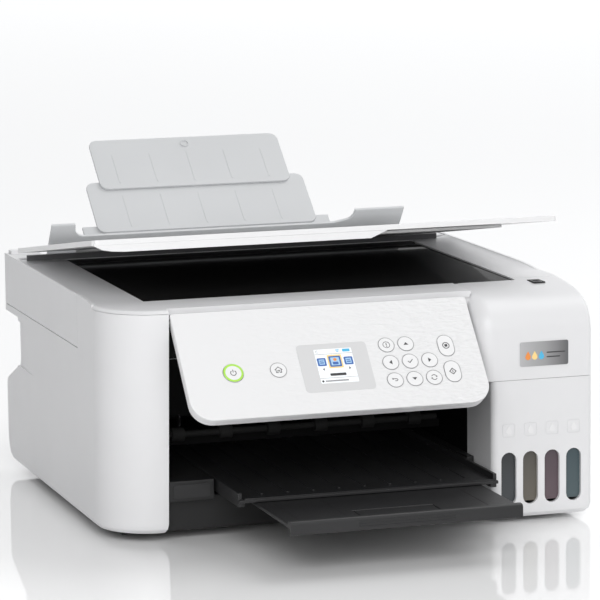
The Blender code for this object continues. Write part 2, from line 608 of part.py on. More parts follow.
def scanner_cover(parent, pivot):
    levels = ((COLUMN_TOP + GAP, 0.0), (175.6, 0.6), (176.5, 1.8), (RIM_Z, 3.6))
    solid = loft([unit_corner_ring(*level) for level in levels])
    half = HALF_WIDTH - WALL - GAP
    wall_top = COLUMN_TOP + 1.5
    hood = hood_solid(0.0, HOOD_SEAM_Z + GAP, HOOD_LEFT_X, HALF_WIDTH)
    fascia = box((COLUMN_INNER_X + 0.6, HOOD_LEFT_X + 3), (FASCIA_Y, FASCIA_Y + WALL), (UNIT_FLOOR_Z, wall_top))
    brow = box((COLUMN_INNER_X + 0.6, HOOD_LEFT_X + 3), (STRIP_FRONT_Y, FASCIA_Y + WALL), (BROW_Z, wall_top))
    left = box((-half, -half + WALL), (SIDE_SEAM_Y + 1, UNIT_BACK_Y), (UNIT_FLOOR_Z, wall_top))
    right = box((half - WALL, half), (-70.0, UNIT_BACK_Y), (UNIT_FLOOR_Z, wall_top))
    back = box((-half, half), (UNIT_BACK_Y - WALL, UNIT_BACK_Y), (UNIT_FLOOR_Z, wall_top))
    rings = []
    for y, rise in ((SIDE_SEAM_Y + 2, 0.1), (SIDE_SEAM_Y + 20, 1.2), (SIDE_SEAM_Y + 40, 1.8), (UNIT_BACK_Y, 1.8)):
        profile = [(half - 12.0, RIM_Z - 1), (half, RIM_Z - 1), (half, RIM_Z + rise),
                   (half - 1.5, RIM_Z + 0.66 * rise), (half - 4.5, RIM_Z + 0.25 * rise), (half - 12.0, RIM_Z)]
        rings.append([(x, y, z) for x, z in profile])
    solid = add(solid, hood, fascia, brow, left, right, back, loft(rings))
    hollow = hood_solid(-WALL, HOOD_SEAM_Z - 9, HOOD_LEFT_X + WALL, HALF_WIDTH - WALL)
    behind = box((HOOD_LEFT_X + WALL, half - WALL), (-80.0, SIDE_SEAM_Y + 9), (UNIT_FLOOR_Z - 50, 174.0 - 2))
    passage = box((HOOD_LEFT_X - 5, HOOD_LEFT_X + 5), (-112.0, -60.0), (UNIT_FLOOR_Z + 2.8, 172.0))
    bed = box(BED_X, BED_Y, (165, 185))
    arms = []
    for x in PANEL_ARMS_X:
        root = [(FASCIA_Y + 1, PANEL_AXIS[1] - 6), (FASCIA_Y + 1, PANEL_AXIS[1] + ARM_RADIUS)]
        arms.append(prism("x", root + arc(PANEL_AXIS, ARM_RADIUS, 90, 270, 8), x - 2, x + 2))
    solid = add(cut(solid, hollow, behind, passage, bed), *arms)
    holes = [rod("x", PANEL_AXIS, PIN_RADIUS + 0.05, x - 3, x + 3, 16) for x in PANEL_ARMS_X]
    piece("scanner_cover", cut(solid, *holes), "case_white", pivot, parent)


def scanner_parts(parent):
    pivot = (0.0, *UNIT_AXIS)
    scanner_cover(parent, pivot)
    floor = [(-180.9, -60.0), (-140.0, -60.0), (-140.0, -142.1), (94.6, -142.1), (94.6, -60.0),
             (180.9, -60.0), (180.9, 136.2), (-180.9, 136.2)]
    piece("scanner_floor", prism("z", floor, UNIT_FLOOR_Z, UNIT_FLOOR_Z + 2.5), "charcoal", pivot, parent)
    piece("scanner_glass", box((BED_X[0] + GAP, BED_X[1] - GAP), (BED_Y[0] + GAP, GLASS_BACK_Y), (173.0, 176.0)),
          "bed_glass", pivot, parent)
    strip = [(GLASS_BACK_Y + GAP, 173.0), (BED_Y[1] - GAP, 173.0), (BED_Y[1] - GAP, 176.6), (122.0, 176.6),
             (119.0, 175.4), (GLASS_BACK_Y + GAP, 175.4)]
    piece("bed_rear_strip", prism("x", strip, BED_X[0] + GAP, BED_X[1] - GAP), "charcoal", pivot, parent)
    piece("scan_rail", rod("x", (0.0, 146.5), 3.0, -178.0, 178.0, 14), "steel", pivot, parent)
    bar = box((-140.0, -122.0), (-104.0, 106.0), (151.0, 170.0))
    shoe = box((-141.0, -121.0), (-9.0, 9.0), (142.6, 152.0))
    bore = rod("x", (0.0, 146.5), 3.4, -150.0, -110.0, 14)
    piece("scan_head", cut(add(bar, shoe), bore), "black_plastic", pivot, parent)


def lid_parts(parent):
    """Document lid in its closed position under an empty that opens it."""
    axis = axis_empty("lid_axis", (0.0, *LID_AXIS), -LID_OPEN, parent)
    plan = rounded_rectangle((-LID_HALF_WIDTH, -LID_DEPTH), (LID_HALF_WIDTH, -1.0), 6.0, 3)
    plate = prism("z", plan, 0.4, 0.4 + LID_THICKNESS)
    front = -LID_DEPTH + 0.4
    rings = [[(x, y, z) for y, z in ((front, 2.0), (front, low), (front + 3.0, low), (front + 5.0, 2.0))]
             for x, low in ((-184.0, 0.0), (-178.0, -0.6 * LID_LIP), (-171.0, -0.87 * LID_LIP),
                            (-161.0, -LID_LIP), (33.0, -LID_LIP), (46.0, 0.0))]
    grip = loft(rings)
    piece("document_lid", add(plate, grip), "case_white", parent=axis)
    mat = rounded_rectangle((-144.0, -228.0), (148.0, -26.0), 4.0, 3)
    piece("lid_mat", prism("z", mat, -2.2, 0.1), "mat_white", parent=axis)


# ---------------------------------------------------------------- control panel
def panel_point(v):
    """Height under the panel's axis of a distance measured down from its top edge."""
    return PANEL_INSET - v


def panel_outline(shrink, top=0.0):
    x0, x1 = PANEL_X[0] + shrink, PANEL_X[1] - shrink
    low, high = panel_point(PANEL_HEIGHT) + shrink, panel_point(top) - shrink
    radius = PANEL_CORNER - shrink
    return (arc((x0 + radius, low + radius), radius, 180, 270, 8)
            + arc((x1 - radius, low + radius), radius, 270, 360, 8)
            + arc((x1 - 1.5, high - 1.5), 1.5, 0, 90, 2) + arc((x0 + 1.5, high - 1.5), 1.5, 90, 180, 2))


def stadium(centre, half_width, half_height, steps=8):
    x, z = centre
    reach = half_height - half_width
    return (arc((x, z + reach), half_width, 0, 180, steps) + arc((x, z - reach), half_width, 180, 360, steps))


def panel_parts(parent):
    axis = axis_empty("panel_axis", (0.0, *PANEL_AXIS), -PANEL_TILT, parent)
    face = -PANEL_INSET
    skin = face + PANEL_SKIN
    front = prism("y", panel_outline(0.0), face, skin)
    holes = [box(SCREEN_X, (face - 3, skin + 3), (panel_point(SCREEN_V[1]), panel_point(SCREEN_V[0])))]
    for name, (x, v) in BUTTONS.items():
        radius = (POWER_RADIUS if name == "button_power" else BUTTON_RADIUS) + GAP
        holes.append(rod("y", (x, panel_point(v)), radius, face - 3, skin + 3))
        button = rod("y", (x, panel_point(v)), radius - GAP, face - 0.2, face + 2.8)
        piece(name, button, "button_white", parent=axis)
    for name, (x, v) in LONG_BUTTONS.items():
        centre = (x, panel_point(v))
        holes.append(prism("y", stadium(centre, BUTTON_RADIUS + GAP, LONG_BUTTON_HALF + GAP), face - 3, skin + 3))
        button = prism("y", stadium(centre, BUTTON_RADIUS, LONG_BUTTON_HALF), face - 0.2, face + 2.8)
        piece(name, button, "button_white", parent=axis)
    piece("panel_front", cut(front, *holes), "case_white", parent=axis)
    screen = box((SCREEN_X[0] + GAP, SCREEN_X[1] - GAP), (face + 0.3, skin),
                 (panel_point(SCREEN_V[1]) + GAP, panel_point(SCREEN_V[0]) - GAP))
    piece("screen", screen, "screen", parent=axis)
    back = prism("y", panel_outline(0.8), skin + GAP, face + PANEL_THICKNESS)
    notches = [box((x - 3, x + 3), (skin - 1, 20), (-9.0, 20)) for x in PANEL_ARMS_X]
    pins = [rod("x", (0.0, 0.0), PIN_RADIUS, x - 4, x + 4, 16) for x in PANEL_ARMS_X]
    piece("panel_back", add(cut(back, *notches), *pins), "case_white", parent=axis)


def build():
    for old in list(bpy.data.objects):
        bpy.data.objects.remove(old)
    frame = bpy.data.objects.new("frame_origin", None)
    bpy.context.scene.collection.objects.link(frame)
    frame.location = (0.0, FRAME_Y * MM, 0.0)
    left_case(frame)
    right_case(frame)
    rear_case(frame)
    base_parts(frame)
    ink_parts(frame)
    print_works(frame)
    tray_parts(frame)
    feed_parts(frame)
    scanner_parts(frame)
    lid_parts(frame)
    panel_parts(frame)


build()
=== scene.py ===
"""The looks of an all-in-one inkjet printer with ink tanks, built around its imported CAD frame.

Lengths are in metres, +X to the right of the front, +Y to the back and +Z up. What is drawn on a
surface is in millimetres, and a number times MM is in metres.
"""
import json
import math

import bmesh
import bpy
from mathutils import Matrix, Vector


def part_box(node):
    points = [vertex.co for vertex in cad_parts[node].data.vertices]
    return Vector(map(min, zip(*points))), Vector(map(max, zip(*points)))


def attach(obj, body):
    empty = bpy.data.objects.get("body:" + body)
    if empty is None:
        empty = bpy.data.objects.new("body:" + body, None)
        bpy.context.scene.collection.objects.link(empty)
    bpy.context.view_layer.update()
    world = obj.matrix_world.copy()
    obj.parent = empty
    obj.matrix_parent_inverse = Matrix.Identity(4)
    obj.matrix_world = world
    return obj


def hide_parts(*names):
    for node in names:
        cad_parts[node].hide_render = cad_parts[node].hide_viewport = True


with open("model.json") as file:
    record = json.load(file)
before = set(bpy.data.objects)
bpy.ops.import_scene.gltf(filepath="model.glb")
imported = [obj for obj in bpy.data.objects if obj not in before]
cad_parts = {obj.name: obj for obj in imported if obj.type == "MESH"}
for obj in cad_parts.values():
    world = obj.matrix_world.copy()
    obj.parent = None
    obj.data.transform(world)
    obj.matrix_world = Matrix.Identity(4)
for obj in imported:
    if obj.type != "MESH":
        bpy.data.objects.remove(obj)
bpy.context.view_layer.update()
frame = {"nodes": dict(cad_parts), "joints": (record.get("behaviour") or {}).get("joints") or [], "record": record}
MM = 0.001


# ---------------------------------------------------------------- node materials
class Shader:
    """Builds one procedural material node by node."""

    def __init__(self, name, colour, roughness, **settings):
        self.material = bpy.data.materials.new(name)
        self.material.use_nodes = True
        self.tree = self.material.node_tree
        self.body = self.tree.nodes["Principled BSDF"]
        self.body.inputs["Base Color"].default_value = (*colour, 1.0)
        self.body.inputs["Roughness"].default_value = roughness
        for label, value in settings.items():
            self.body.inputs[label.replace("_", " ")].default_value = value
        self.space = self.node("ShaderNodeTexCoord").outputs["Object"]

    def node(self, kind, **settings):
        made = self.tree.nodes.new(kind)
        for label, value in settings.items():
            setattr(made, label, value)
        return made

    def link(self, output, target):
        self.tree.links.new(output, target)

    def noise(self, scale, detail=2.0, stretch=(1.0, 1.0, 1.0), distortion=0.0):
        mapping = self.node("ShaderNodeMapping")
        mapping.inputs["Scale"].default_value = stretch
        self.link(self.space, mapping.inputs["Vector"])
        made = self.node("ShaderNodeTexNoise")
        made.inputs["Scale"].default_value = scale
        made.inputs["Detail"].default_value = detail
        made.inputs["Distortion"].default_value = distortion
        self.link(mapping.outputs["Vector"], made.inputs["Vector"])
        return made.outputs["Fac"]

    def spread(self, value, low, high, start=0.3, end=0.7):
        made = self.node("ShaderNodeMapRange")
        made.inputs["From Min"].default_value = start
        made.inputs["From Max"].default_value = end
        made.inputs["To Min"].default_value = low
        made.inputs["To Max"].default_value = high
        self.link(value, made.inputs["Value"])
        return made.outputs["Result"]

    def rough(self, value, low, high):
        self.link(self.spread(value, low, high), self.body.inputs["Roughness"])

    def along(self, axis, start, end):
        """From 0 at one place along an axis to 1 at another."""
        split = self.node("ShaderNodeSeparateXYZ")
        self.link(self.space, split.inputs["Vector"])
        return self.spread(split.outputs[axis], 0.0, 1.0, start, end)

    def times(self, first, second):
        made = self.node("ShaderNodeMath", operation="MULTIPLY")
        self.link(first, made.inputs[0])
        self.link(second, made.inputs[1])
        return made.outputs["Value"]

    def colour(self, value, stops):
        made = self.node("ShaderNodeValToRGB")
        band = made.color_ramp
        while len(band.elements) < len(stops):
            band.elements.new(0.5)
        for element, (position, colour) in zip(band.elements, stops):
            element.position = position
            element.color = (*colour, 1.0)
        self.link(value, made.inputs["Fac"])
        self.link(made.outputs["Color"], self.body.inputs["Base Color"])

    def bump(self, value, distance):
        made = self.node("ShaderNodeBump")
        made.inputs["Distance"].default_value = distance
        self.link(value, made.inputs["Height"])
        last = self.body.inputs["Normal"]
        if last.is_linked:
            self.link(last.links[0].from_socket, made.inputs["Normal"])
        self.link(made.outputs["Normal"], last)


def moulded(name, colour, roughness, shade=0.03, grain=0.00002, **settings):
    """Injection-moulded plastic: a fine spark-eroded grain and a slow change of tone."""
    made = Shader(name, colour, roughness, **settings)
    slow = made.noise(14.0, 3.0)
    dark = tuple(part * (1 - shade) for part in colour)
    made.colour(slow, ((0.3, dark), (0.7, colour)))
    made.rough(made.noise(60.0, 3.0), roughness - 0.01, roughness + 0.015)
    made.bump(made.noise(2600.0, 1.0), grain)
    return made.material


def ripple_white():
    """The panel's face: fine ripples that run across it and fade out towards its left."""
    made = Shader("panel_ripple", (0.735, 0.735, 0.74), 0.34)
    fade = made.along("X", -0.13, 0.06)
    broad = made.noise(110.0, 1.0, (1.0, 2.6, 2.6), 0.3)
    fine = made.noise(260.0, 1.0, (1.0, 2.4, 2.4), 0.3)
    made.bump(made.times(broad, fade), 0.0011)
    made.bump(made.times(fine, fade), 0.0003)
    made.rough(broad, 0.33, 0.36)
    return made.material


def glossy(name, colour, roughness, **settings):
    made = Shader(name, colour, roughness, **settings)
    made.rough(made.noise(40.0, 3.0), roughness * 0.8, roughness * 1.3)
    return made.material


def printed(name, colour, roughness=0.4):
    """Printed marks and small moulded details."""
    made = Shader(name, colour, roughness)
    made.bump(made.noise(900.0, 1.0), 0.00001)
    made.rough(made.noise(120.0, 2.0), roughness - 0.05, roughness + 0.05)
    return made.material


def glowing(name, colour, strength):
    made = Shader(name, colour, 0.4, Emission_Color=(*colour, 1.0), Emission_Strength=strength)
    made.rough(made.noise(120.0, 2.0), 0.3, 0.4)
    return made.material


def brushed(name, colour, roughness):
    made = Shader(name, colour, roughness, Metallic=1.0)
    made.bump(made.noise(900.0, 2.0, (0.04, 1.0, 1.0)), 0.00002)
    made.rough(made.noise(300.0, 2.0, (0.05, 1.0, 1.0)), roughness - 0.08, roughness + 0.1)
    return made.material


def rubbery(name, colour):
    made = Shader(name, colour, 0.8)
    made.bump(made.noise(1200.0, 3.0), 0.00006)
    made.colour(made.noise(30.0, 3.0), ((0.3, colour), (0.7, tuple(part * 1.5 for part in colour))))
    return made.material


def smoky(name, low, high):
    """Tinted translucent tank plastic, its tone changing from its foot upwards."""
    made = Shader(name, high, 0.16, Coat_Weight=0.35, Coat_Roughness=0.12)
    made.colour(made.along("Z", 0.015, 0.056), ((0.0, low), (1.0, high)))
    made.rough(made.noise(70.0, 2.0), 0.13, 0.2)
    return made.material


def badge_metal(left, right):
    """Satin plate whose tone falls from light at its left to dark at its right."""
    made = Shader("badge_plate", (0.4, 0.4, 0.41), 0.3, Metallic=0.3)
    across = made.along("X", left, right)
    stops = ((0.0, (0.50, 0.50, 0.51)), (0.55, (0.34, 0.34, 0.345)), (1.0, (0.13, 0.13, 0.135)))
    made.colour(across, stops)
    made.bump(made.noise(1500.0, 1.0, (0.06, 1.0, 1.0)), 0.00001)
    return made.material


WHITE = moulded("case_white_look", (0.725, 0.725, 0.735), 0.36)
WHITE_GLOSS = moulded("lid_white_look", (0.79, 0.79, 0.795), 0.25, grain=0.000008)
GREY = moulded("soft_grey_look", (0.60, 0.61, 0.62), 0.42)
CHARCOAL = moulded("charcoal_look", (0.017, 0.017, 0.018), 0.45, 0.2, 0.00004)
BLACK = moulded("black_look", (0.003, 0.003, 0.0032), 0.6, 0.2, 0.00002, Specular_IOR_Level=0.15)
DARK = moulded("housing_look", (0.008, 0.008, 0.0085), 0.5, 0.2, 0.00003)
# Painted shade: a grey with the tone of the shadow under the lid's back edge, for the bar along its hinge.
LID_SHADOW_GREY = moulded("lid_shadow_grey_look", (0.12, 0.12, 0.125), 0.5)
GLASS = glossy("bed_glass_look", (0.011, 0.011, 0.011), 0.06, IOR=1.03)
RUBBER = rubbery("rubber_look", (0.012, 0.012, 0.012))
STEEL = brushed("steel_look", (0.62, 0.63, 0.64), 0.3)
# Painted shade: the mat is white foam, and this grey stands in for the shadow it lies in under the lid.
MAT_SHADE_GREY = moulded("mat_shade_grey_look", (0.60, 0.60, 0.60), 0.8, 0.04, 0.0001)
RIPPLE = ripple_white()
BEZEL = moulded("bezel_look", (0.62, 0.62, 0.625), 0.3, 0.02, 0.000005)
INK_LINE = printed("mark_grey", (0.045, 0.045, 0.048))
FAINT_LINE = printed("mark_pale", (0.30, 0.30, 0.31))
RELIEF = printed("relief_white", (0.67, 0.67, 0.68))
LIME = glowing("power_ring_glow", (0.36, 0.66, 0.08), 0.12)
LCD_WHITE = glowing("lcd_white", (0.86, 0.89, 0.92), 0.06)
LCD_BLUE = glowing("lcd_blue", (0.05, 0.13, 0.38), 0.1)
LCD_SKY = glowing("lcd_sky", (0.08, 0.42, 0.66), 0.1)
LCD_PALE = glowing("lcd_pale_blue", (0.36, 0.55, 0.74), 0.1)
LCD_ORANGE = glowing("lcd_orange", (0.76, 0.26, 0.06), 0.1)
LCD_GOLD = glowing("lcd_gold", (0.82, 0.60, 0.24), 0.1)
INKS = {
    "ink_tank_1": smoky("ink_grey_look", (0.050, 0.058, 0.064), (0.016, 0.018, 0.021)),
    "ink_tank_2": smoky("ink_olive_look", (0.125, 0.112, 0.090), (0.062, 0.057, 0.048)),
    "ink_tank_3": smoky("ink_plum_look", (0.110, 0.075, 0.088), (0.066, 0.047, 0.057)),
    "ink_tank_4": smoky("ink_teal_look", (0.066, 0.096, 0.106), (0.036, 0.060, 0.070)),
}
LOOKS = {
    "case_white": WHITE, "soft_grey": GREY, "charcoal": CHARCOAL, "black_plastic": BLACK,
    "bed_glass": GLASS, "rubber": RUBBER, "steel": STEEL, "screen": BEZEL, "button_white": WHITE_GLOSS,
    "mat_white": MAT_SHADE_GREY, "ink_black": INKS["ink_tank_1"], "ink_yellow": INKS["ink_tank_2"],
    "ink_magenta": INKS["ink_tank_3"], "ink_cyan": INKS["ink_tank_4"],
}
# bottom_pan takes the near-black housing look in place of its soft grey: painted shade under the case.
LOOK_OF_NODE = {
    "panel_front": RIPPLE, "document_lid": WHITE_GLOSS, "tray_housing": DARK, "bottom_pan": DARK,
}
BODIES = frame["record"]["behaviour"]["bodies"]
BODY_OF = {node: body for body, nodes in BODIES.items() for node in nodes}
SLOT_OF = {row["node"]: row["material_slot"] for row in frame["record"]["subparts"]}
HINGES = {joint["name"]: Vector(joint["pos_m"]) for joint in frame["joints"] if "pos_m" in joint}


# ---------------------------------------------------------------- building pieces
def dress(obj, look, body):
    """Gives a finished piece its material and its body."""
    obj.data.materials.clear()
    obj.data.materials.append(look)
    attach(obj, body)
    return obj


def smooth(obj, angle=40):
    obj.data.shade_smooth()
    obj.data.set_sharp_from_angle(angle=math.radians(angle))
    weighted = obj.modifiers.new("weighted", "WEIGHTED_NORMAL")
    weighted.keep_sharp = True


def softened(node, width, segments=2, angle=28):
    """The CAD piece rebuilt with its flat facets joined and its edges rounded."""
    work = bmesh.new()
    work.from_mesh(frame["nodes"][node].data)
    bmesh.ops.remove_doubles(work, verts=work.verts, dist=0.000002)
    bmesh.ops.dissolve_limit(work, angle_limit=math.radians(0.6), verts=work.verts, edges=work.edges)
    edges = [edge for edge in work.edges
             if len(edge.link_faces) == 2 and edge.calc_face_angle(0.0) > math.radians(angle)]
    bmesh.ops.bevel(work, geom=edges, offset=width, offset_type="OFFSET", segments=segments,
                    profile=0.5, affect="EDGES", clamp_overlap=True)
    bmesh.ops.triangulate(work, faces=[face for face in work.faces if len(face.verts) > 4])
    obj = finish_mesh(work, node + "_shape")
    smooth(obj)
    dress(obj, LOOK_OF_NODE.get(node, LOOKS[SLOT_OF[node]]), BODY_OF[node])
    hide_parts(node)


def finish_mesh(work, name):
    mesh = bpy.data.meshes.new(name)
    bmesh.ops.recalc_face_normals(work, faces=work.faces)
    work.to_mesh(mesh)
    work.free()
    obj = bpy.data.objects.new(name, mesh)
    bpy.context.scene.collection.objects.link(obj)
    return obj


class Drawing:
    """Thin raised shapes drawn in millimetres on a surface and gathered into one piece."""

    def __init__(self, name, surface, look, body, slot, base=-0.1, top=0.12):
        self.name, self.surface, self.look, self.body, self.slot = name, surface, look, body, slot
        self.base, self.top = base, top
        self.work = bmesh.new()

    def patch(self, outline):
        """A filled outline."""
        rings = [[self.work.verts.new(self.surface(u, w, lift)) for u, w in outline]
                 for lift in (self.base, self.top)]
        self.work.faces.new(rings[0])
        self.work.faces.new(rings[1])
        self.walls(rings[0], rings[1], True)
        return self

    def walls(self, low, high, closed):
        count = len(low)
        for index in range(count if closed else count - 1):
            after = (index + 1) % count
            self.work.faces.new((low[index], low[after], high[after], high[index]))

    def stroke(self, points, width, closed=False):
        """A line of even width along points."""
        count = len(points)
        sides = ([], [])
        for index, point in enumerate(points):
            here = Vector(point)
            before = Vector(points[index - 1]) if closed or index else None
            after = Vector(points[(index + 1) % count]) if closed or index < count - 1 else None
            steps = [(b - a).normalized() for a, b in ((before, here), (here, after)) if a and b]
            normal = sum((Vector((-step.y, step.x)) for step in steps), Vector((0.0, 0.0))).normalized()
            reach = 0.5 * width / max(0.5, normal.dot(Vector((-steps[0].y, steps[0].x))))
            sides[0].append(here + normal * reach)
            sides[1].append(here - normal * reach)
        rings = [[self.work.verts.new(self.surface(u, w, lift)) for u, w in side]
                 for side, lift in ((sides[0], self.base), (sides[0], self.top),
                                    (sides[1], self.top), (sides[1], self.base))]
        for low, high in zip(rings, rings[1:] + rings[:1]):
            self.walls(low, high, closed)
        if not closed:
            self.work.faces.new([ring[0] for ring in rings])
            self.work.faces.new([ring[-1] for ring in rings])
        return self

    def done(self):
        obj = finish_mesh(self.work, self.name)
        obj.data.shade_smooth()
        obj.data.set_sharp_from_angle(angle=math.radians(30))
        return dress(obj, self.look, self.body)


def arc(centre, radius, start, end, steps=16):
    points = []
    for index in range(steps + 1):
        angle = math.radians(start + (end - start) * index / steps)
        points.append((centre[0] + radius * math.cos(angle), centre[1] + radius * math.sin(angle)))
    return points


def circle(centre, radius, steps=32):
    return arc(centre, radius, 0, 360, steps)[:-1]


def stadium(centre, radius, reach, steps=12):
    """Upright outline with two round ends whose centres lie reach above and below the middle."""
    x, y = centre
    return arc((x, y + reach), radius, 0, 180, steps) + arc((x, y - reach), radius, 180, 360, steps)


def rectangle(low, high, radius, steps=4):
    (x0, y0), (x1, y1) = low, high
    return (arc((x1 - radius, y0 + radius), radius, -90, 0, steps)
            + arc((x1 - radius, y1 - radius), radius, 0, 90, steps)
            + arc((x0 + radius, y1 - radius), radius, 90, 180, steps)
            + arc((x0 + radius, y0 + radius), radius, 180, 270, steps))


def facing_front(y):
    """Surface that faces the front: u to the right, w upwards, lift forwards."""
    return lambda u, w, lift: Vector((u * MM, y - lift * MM, w * MM))


def facing_back(y):
    return lambda u, w, lift: Vector((u * MM, y + lift * MM, w * MM))


def facing_left(x):
    """Surface that faces left: u backwards, w upwards."""
    return lambda u, w, lift: Vector((x - lift * MM, u * MM, w * MM))


def facing_up(z):
    """Surface that faces up: u to the right, w backwards."""
    return lambda u, w, lift: Vector((u * MM, w * MM, z + lift * MM))


def facing_down(z):
    return lambda u, w, lift: Vector((u * MM, w * MM, z - lift * MM))


def middle(node):
    low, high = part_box(node)
    return (low + high) / 2


# ---------------------------------------------------------------- carried-over pieces
# How far each piece's edges are rounded, in metres.
SOFT_WIDTHS = {
    "left_case": 0.0008, "right_case": 0.0006, "rear_case": 0.0008, "scanner_cover": 0.0006,
    "document_lid": 0.0012, "panel_front": 0.0012, "panel_back": 0.001, "lid_mat": 0.0006,
    "feeder_deck": 0.001, "feeder_guard": 0.0006, "output_tray": 0.0005, "tray_extension": 0.0005,
    "tray_housing": 0.0015, "print_carriage": 0.0015, "left_side_cover": 0.0006,
    "right_side_cover": 0.0006,
}
PLAIN_WIDTH = 0.0003               # edge rounding of every other piece
for node in frame["nodes"]:
    softened(node, SOFT_WIDTHS.get(node, PLAIN_WIDTH))


# ---------------------------------------------------------------- control panel
PANEL_TILT = math.radians(41.2)    # how far the panel is swung out at rest
PANEL_INSET = 7.0                  # from the hinge to the panel's face and to its top edge
PANEL_HINGE = HINGES["control_panel_hinge"]
BUTTON_PROUD = 0.2
BEZEL_PROUD = 0.1


def panel_surface(u, w, lift):
    """The panel's face: u to the right and w upwards from its hinge, lift outwards."""
    y, z = -PANEL_INSET - lift, w
    turn = -PANEL_TILT
    across = y * math.cos(turn) - z * math.sin(turn)
    above = y * math.sin(turn) + z * math.cos(turn)
    return PANEL_HINGE + Vector((u, across, above)) * MM


def panel_spot(node):
    """Where a piece of the panel lies on its face."""
    away = (middle(node) - PANEL_HINGE) / MM
    return away.x, away.z * math.cos(PANEL_TILT) + away.y * math.sin(PANEL_TILT)


def turned_points(points, centre, angle=0.0, size=1.0):
    """Points of an icon turned and moved to its place."""
    turn = math.radians(angle)
    return [(centre[0] + size * (x * math.cos(turn) - y * math.sin(turn)),
             centre[1] + size * (x * math.sin(turn) + y * math.cos(turn))) for x, y in points]


BUTTON_RING = 6.15                 # radius of the outline round a button, and its width
BUTTON_RING_WIDTH = 0.34
LONG_BUTTON_REACH = 3.0            # from a long button's middle to the centre of its round end
POWER_RING = 6.8
POWER_RING_WIDTH = 1.5
ROUND_BUTTONS = ("home", "help", "up", "left", "ok", "right", "back", "down", "paper")
ARROW_HEAD = ((1.3, -0.7), (0.0, 0.8), (-1.3, -0.7))


def button_rings():
    """The fine grey outline round each button and the lit ring round the power button."""
    rings = Drawing("button_outlines", panel_surface, FAINT_LINE, "panel", "button_white", -0.1, 0.1)
    for name in ROUND_BUTTONS:
        rings.stroke(circle(panel_spot("button_" + name), BUTTON_RING), BUTTON_RING_WIDTH, True)
    for name in ("stop", "start"):
        outline = stadium(panel_spot("button_" + name), BUTTON_RING, LONG_BUTTON_REACH)
        rings.stroke(outline, BUTTON_RING_WIDTH, True)
    rings.done()
    glow = Drawing("power_ring", panel_surface, LIME, "button_power_key", "button_white", 0.15, 0.35)
    glow.stroke(circle(panel_spot("button_power"), POWER_RING, 40), POWER_RING_WIDTH, True)
    glow.done()


def icon(name):
    return Drawing("icon_" + name, panel_surface, INK_LINE, "button_%s_key" % name, "button_white",
                   BUTTON_PROUD - 0.1, BUTTON_PROUD + 0.06)


def draw_icons():
    """A small generic mark on each button."""
    spot = {name: panel_spot("button_" + name) for name in ROUND_BUTTONS + ("power", "stop", "start")}

    def at(name, points, angle=0.0, size=1.0):
        return turned_points(points, spot[name], angle, size)

    power = icon("power")
    power.stroke(at("power", arc((0, 0), 2.1, 125, 415, 20)), 0.55)
    power.stroke(at("power", ((0.0, 2.8), (0.0, 0.4))), 0.55)
    power.done()
    roof = ((-2.9, 0.1), (0.0, 2.6), (2.9, 0.1))
    walls = ((-2.0, 0.9), (-2.0, -2.2), (-0.7, -2.2), (-0.7, -0.4),
             (0.7, -0.4), (0.7, -2.2), (2.0, -2.2), (2.0, 0.9))
    home = icon("home")
    home.stroke(at("home", roof), 0.48)
    home.stroke(at("home", walls), 0.48)
    home.done()
    advice = icon("help")
    advice.stroke(at("help", circle((0, 0), 2.6, 24)), 0.42, True)
    advice.stroke(at("help", ((0.0, 1.5), (0.0, -0.4))), 0.6)
    advice.patch(at("help", circle((0.0, -1.3), 0.42, 10)))
    advice.done()
    for name, angle in (("up", 0), ("left", 90), ("down", 180), ("right", 270)):
        arrow = icon(name)
        arrow.patch(at(name, ARROW_HEAD, angle, 1.5))
        arrow.done()
    tick = icon("ok")
    tick.stroke(at("ok", ((-1.9, 0.1), (-0.5, -1.4), (2.0, 1.5))), 0.6)
    tick.done()
    hook = ((-1.9, 0.9), (1.0, 0.9)) + tuple(arc((1.0, 0.0), 0.9, 80, -90, 8)) + ((-0.4, -0.9),)
    back = icon("back")
    back.stroke(at("back", hook), 0.5)
    back.patch(at("back", ((-2.6, 0.9), (-1.4, 0.1), (-1.4, 1.7))))
    back.done()
    paper = icon("paper")
    for start in (20, 200):
        paper.stroke(at("paper", arc((0, 0), 2.1, start, start + 130, 10)), 0.5)
    for side in (1, -1):
        head = ((2.6 * side, 1.1 * side), (1.1 * side, 0.9 * side), (2.1 * side, -0.2 * side))
        paper.patch(at("paper", head))
    paper.done()
    stop = icon("stop")
    stop.stroke(at("stop", circle((0, 0), 2.5, 24)), 0.6, True)
    stop.patch(at("stop", rectangle((-1.1, -1.1), (1.1, 1.1), 0.3, 2)))
    stop.done()
    start_mark = icon("start")
    start_mark.stroke(at("start", ((0.0, 2.5), (-2.5, 0.0), (0.0, -2.5), (2.5, 0.0))), 0.6, True)
    start_mark.stroke(at("start", ((0.0, 1.1), (0.0, -1.1))), 0.55)
    start_mark.done()


# The picture on the screen, in millimetres from the picture's middle.
LCD_HALF = (14.6, 14.7)
LCD_SHIFT = 0.4                    # the picture's middle from the screen node's, across and up
LCD_RISE = 1.2
BEZEL_HEIGHT = 41.2
BEZEL_CORNER = 3.2
BEZEL_OVERLAP = 0.8                # how far the bezel reaches past the screen node on each side
TILES = ((-10.4, 3.4), (0.0, 4.6), (10.4, 3.4))     # middle of each tile along the row, half its side


